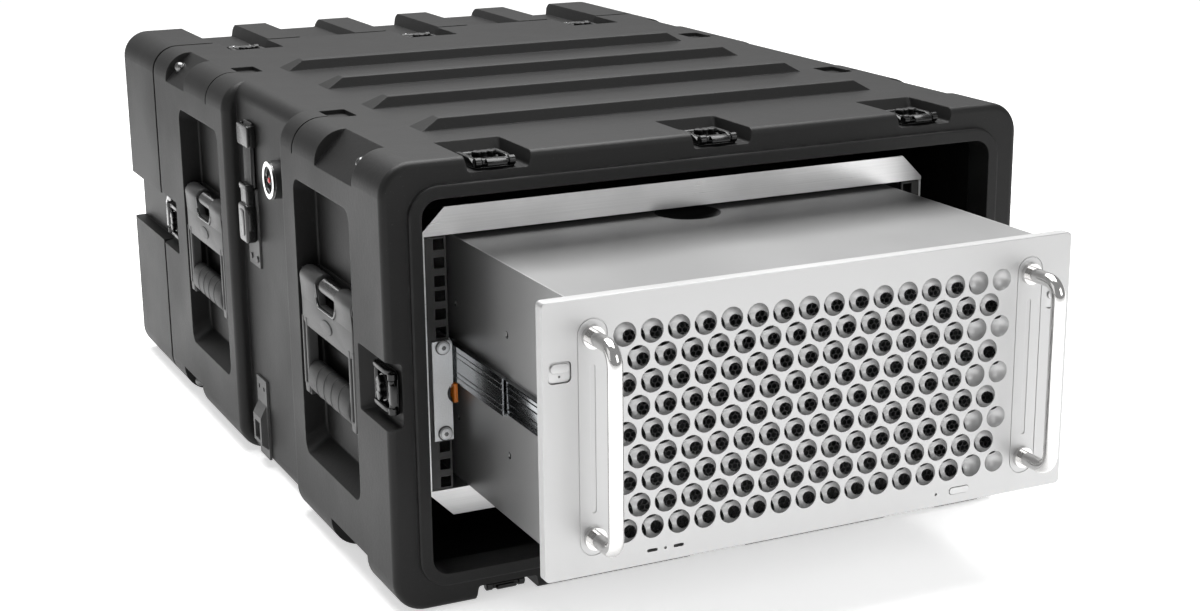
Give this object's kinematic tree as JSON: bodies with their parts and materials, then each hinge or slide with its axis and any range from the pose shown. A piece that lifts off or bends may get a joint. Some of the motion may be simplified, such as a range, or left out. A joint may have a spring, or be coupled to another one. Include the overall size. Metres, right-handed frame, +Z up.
{
  "type": "equipment rack case",
  "caption": "Shock-mounted rack equipment case with a ribbed body, folding side handles, twist latches, a rear lid and a grille-fronted rack unit on telescopic slides.",
  "frame": {"origin": "on the resting plane, under the middle of the whole object with the rack unit drawn out", "axes": "+X to the right seen from the open front, +Y into the case from its open front, +Z up"},
  "size_m": [0.6132, 1.0894, 0.39],
  "materials": {
    "shell_plastic": "textured rotomoulded polyethylene",
    "seal_rubber": "matt foam rubber",
    "shock_rubber": "moulded rubber",
    "stud_steel": "zinc plated",
    "spring_steel": "dark spring steel",
    "frame_aluminium": "brushed",
    "rail_black": "black powder coat",
    "slide_zinc": "dark zinc",
    "bracket_zinc": "bright zinc",
    "bolt_black": "black oxide",
    "handle_grey": "mid-grey moulded",
    "grip_rubber": "ribbed",
    "bracket_black": "satin black",
    "latch_black": "black chrome",
    "keeper_steel": "bright plated",
    "valve_black": "satin",
    "valve_chrome": "polished",
    "valve_red": "gloss",
    "webbing_black": "woven",
    "buckle_black": "satin",
    "plate_grey": "satin grey",
    "tab_orange": "satin",
    "chassis_silver": "satin",
    "cover_grey": "satin grey",
    "panel_silver": "fine blasted and anodised",
    "pull_chrome": "polished",
    "mesh_black": "black",
    "lock_steel": "satin",
    "button_silver": "satin"
  },
  "bodies": {
    "case": {"case_shell": "shell_plastic", "frame_plates": "frame_aluminium", "frame_side_plates": "frame_aluminium", "rack_rails": "rail_black", "shock_mounts": "shock_rubber", "shock_mount_studs": "stud_steel", "edge_bolts": "bolt_black", "handle_brackets": "bracket_black", "handle_pins": "stud_steel", "handle_springs": "spring_steel", "latch_bases": "latch_black", "valve_body": "valve_black", "valve_ring": "valve_chrome", "strap_buckles": "buckle_black", "strap_webbing": "webbing_black", "strap_plates": "plate_grey", "strap_hooks": "plate_grey", "slide_outer": "slide_zinc", "slide_brackets": "bracket_zinc", "bracket_screws": "bracket_zinc"},
    "lid": {"rear_lid": "shell_plastic", "lid_gasket": "seal_rubber", "latch_keepers": "keeper_steel"},
    "slide_middle": {"slide_middle": "slide_zinc"},
    "rack_unit": {"chassis_tray": "chassis_silver", "chassis_cover": "cover_grey", "front_panel": "panel_silver", "panel_pulls": "pull_chrome", "grille_mesh": "mesh_black", "slide_inner": "slide_zinc"},
    "valve_button": {"valve_button": "valve_red"},
    "release_tab_left": {"release_tab_left": "tab_orange"},
    "release_tab_right": {"release_tab_right": "tab_orange"},
    "thumb_lock_left": {"thumb_lock_left": "lock_steel"},
    "thumb_lock_right": {"thumb_lock_right": "lock_steel"},
    "power_button": {"power_button": "button_silver"},
    "handle_front_left": {"handle_front_left": "handle_grey", "grip_front_left": "grip_rubber"},
    "handle_front_right": {"handle_front_right": "handle_grey", "grip_front_right": "grip_rubber"},
    "handle_rear_left": {"handle_rear_left": "handle_grey", "grip_rear_left": "grip_rubber"},
    "handle_rear_right": {"handle_rear_right": "handle_grey", "grip_rear_right": "grip_rubber"},
    "latch_wing_front_bottom_left": {"latch_wing_front_bottom_left": "latch_black"},
    "latch_wing_front_bottom_middle": {"latch_wing_front_bottom_middle": "latch_black"},
    "latch_wing_front_bottom_right": {"latch_wing_front_bottom_right": "latch_black"},
    "latch_wing_front_left": {"latch_wing_front_left": "latch_black"},
    "latch_wing_front_right": {"latch_wing_front_right": "latch_black"},
    "latch_wing_front_top_left": {"latch_wing_front_top_left": "latch_black"},
    "latch_wing_front_top_middle": {"latch_wing_front_top_middle": "latch_black"},
    "latch_wing_front_top_right": {"latch_wing_front_top_right": "latch_black"},
    "latch_wing_rear_bottom_left": {"latch_wing_rear_bottom_left": "latch_black"},
    "latch_wing_rear_bottom_middle": {"latch_wing_rear_bottom_middle": "latch_black"},
    "latch_wing_rear_bottom_right": {"latch_wing_rear_bottom_right": "latch_black"},
    "latch_wing_rear_left": {"latch_wing_rear_left": "latch_black"},
    "latch_wing_rear_right": {"latch_wing_rear_right": "latch_black"},
    "latch_wing_rear_top_left": {"latch_wing_rear_top_left": "latch_black"},
    "latch_wing_rear_top_middle": {"latch_wing_rear_top_middle": "latch_black"},
    "latch_wing_rear_top_right": {"latch_wing_rear_top_right": "latch_black"}
  },
  "joints": [
    {"name": "unit_slide", "type": "slide", "parent": "case", "child": "rack_unit", "axis": [0, -1, 0], "range_m": [-0.214, 0.25]},
    {"name": "middle_slide", "type": "slide", "parent": "case", "child": "slide_middle", "axis": [0, -1, 0], "range_m": [-0.107, 0.125]},
    {"name": "lid_lift_off", "type": "slide", "parent": "case", "child": "lid", "axis": [0, 1, 0], "range_m": [0, 0.15]},
    {"name": "handle_front_left_hinge", "type": "hinge", "parent": "case", "child": "handle_front_left", "pos_m": [-0.2955, -0.18225, 0.24], "axis": [0, 1, 0], "range_deg": [0, 90], "stiffness_Nm_per_rad": 0.6, "springref_deg": -28.65},
    {"name": "handle_front_right_hinge", "type": "hinge", "parent": "case", "child": "handle_front_right", "pos_m": [0.2955, -0.18225, 0.24], "axis": [0, -1, 0], "range_deg": [0, 90], "stiffness_Nm_per_rad": 0.6, "springref_deg": -28.65},
    {"name": "handle_rear_left_hinge", "type": "hinge", "parent": "case", "child": "handle_rear_left", "pos_m": [-0.2955, 0.22075, 0.24], "axis": [0, 1, 0], "range_deg": [0, 90], "stiffness_Nm_per_rad": 0.6, "springref_deg": -28.65},
    {"name": "handle_rear_right_hinge", "type": "hinge", "parent": "case", "child": "handle_rear_right", "pos_m": [0.2955, 0.22075, 0.24], "axis": [0, -1, 0], "range_deg": [0, 90], "stiffness_Nm_per_rad": 0.6, "springref_deg": -28.65},
    {"name": "latch_front_bottom_left_turn", "type": "hinge", "parent": "case", "child": "latch_wing_front_bottom_left", "pos_m": [-0.204, -0.30725, 0.009], "axis": [0, 0, -1], "range_deg": [0, 180]},
    {"name": "latch_front_bottom_middle_turn", "type": "hinge", "parent": "case", "child": "latch_wing_front_bottom_middle", "pos_m": [0, -0.30725, 0.009], "axis": [0, 0, -1], "range_deg": [0, 180]},
    {"name": "latch_front_bottom_right_turn", "type": "hinge", "parent": "case", "child": "latch_wing_front_bottom_right", "pos_m": [0.204, -0.30725, 0.009], "axis": [0, 0, -1], "range_deg": [0, 180]},
    {"name": "latch_front_left_turn", "type": "hinge", "parent": "case", "child": "latch_wing_front_left", "pos_m": [-0.296, -0.30725, 0.19], "axis": [-1, 0, 0], "range_deg": [0, 180]},
    {"name": "latch_front_right_turn", "type": "hinge", "parent": "case", "child": "latch_wing_front_right", "pos_m": [0.296, -0.30725, 0.19], "axis": [1, 0, 0], "range_deg": [0, 180]},
    {"name": "latch_front_top_left_turn", "type": "hinge", "parent": "case", "child": "latch_wing_front_top_left", "pos_m": [-0.204, -0.30725, 0.371], "axis": [0, 0, 1], "range_deg": [0, 180]},
    {"name": "latch_front_top_middle_turn", "type": "hinge", "parent": "case", "child": "latch_wing_front_top_middle", "pos_m": [0, -0.30725, 0.371], "axis": [0, 0, 1], "range_deg": [0, 180]},
    {"name": "latch_front_top_right_turn", "type": "hinge", "parent": "case", "child": "latch_wing_front_top_right", "pos_m": [0.204, -0.30725, 0.371], "axis": [0, 0, 1], "range_deg": [0, 180]},
    {"name": "latch_rear_bottom_left_turn", "type": "hinge", "parent": "case", "child": "latch_wing_rear_bottom_left", "pos_m": [-0.204, 0.37275, 0.009], "axis": [0, 0, -1], "range_deg": [0, 180]},
    {"name": "latch_rear_bottom_middle_turn", "type": "hinge", "parent": "case", "child": "latch_wing_rear_bottom_middle", "pos_m": [0, 0.37275, 0.009], "axis": [0, 0, -1], "range_deg": [0, 180]},
    {"name": "latch_rear_bottom_right_turn", "type": "hinge", "parent": "case", "child": "latch_wing_rear_bottom_right", "pos_m": [0.204, 0.37275, 0.009], "axis": [0, 0, -1], "range_deg": [0, 180]},
    {"name": "latch_rear_left_turn", "type": "hinge", "parent": "case", "child": "latch_wing_rear_left", "pos_m": [-0.296, 0.37275, 0.19], "axis": [-1, 0, 0], "range_deg": [0, 180]},
    {"name": "latch_rear_right_turn", "type": "hinge", "parent": "case", "child": "latch_wing_rear_right", "pos_m": [0.296, 0.37275, 0.19], "axis": [1, 0, 0], "range_deg": [0, 180]},
    {"name": "latch_rear_top_left_turn", "type": "hinge", "parent": "case", "child": "latch_wing_rear_top_left", "pos_m": [-0.204, 0.37275, 0.371], "axis": [0, 0, 1], "range_deg": [0, 180]},
    {"name": "latch_rear_top_middle_turn", "type": "hinge", "parent": "case", "child": "latch_wing_rear_top_middle", "pos_m": [0, 0.37275, 0.371], "axis": [0, 0, 1], "range_deg": [0, 180]},
    {"name": "latch_rear_top_right_turn", "type": "hinge", "parent": "case", "child": "latch_wing_rear_top_right", "pos_m": [0.204, 0.37275, 0.371], "axis": [0, 0, 1], "range_deg": [0, 180]},
    {"name": "valve_press", "type": "slide", "parent": "case", "child": "valve_button", "axis": [1, 0, 0], "range_m": [0, 0.0025], "stiffness_N_per_m": 400, "springref_m": -0.001},
    {"name": "power_press", "type": "slide", "parent": "rack_unit", "child": "power_button", "axis": [0, 1, 0], "range_m": [0, 0.0015], "stiffness_N_per_m": 400, "springref_m": -0.001},
    {"name": "release_left_press", "type": "slide", "parent": "case", "child": "release_tab_left", "axis": [0, 0, -1], "range_m": [0, 0.003], "stiffness_N_per_m": 400, "springref_m": -0.001},
    {"name": "thumb_lock_left_press", "type": "slide", "parent": "rack_unit", "child": "thumb_lock_left", "axis": [0, 1, 0], "range_m": [0, 0.0012], "stiffness_N_per_m": 400, "springref_m": -0.001},
    {"name": "release_right_press", "type": "slide", "parent": "case", "child": "release_tab_right", "axis": [0, 0, -1], "range_m": [0, 0.003], "stiffness_N_per_m": 400, "springref_m": -0.001},
    {"name": "thumb_lock_right_press", "type": "slide", "parent": "rack_unit", "child": "thumb_lock_right", "axis": [0, 1, 0], "range_m": [0, 0.0012], "stiffness_N_per_m": 400, "springref_m": -0.001}
  ],
  "couplings": [
    {"joint": "middle_slide", "follows": "unit_slide", "ratio": 0.5}
  ]
}
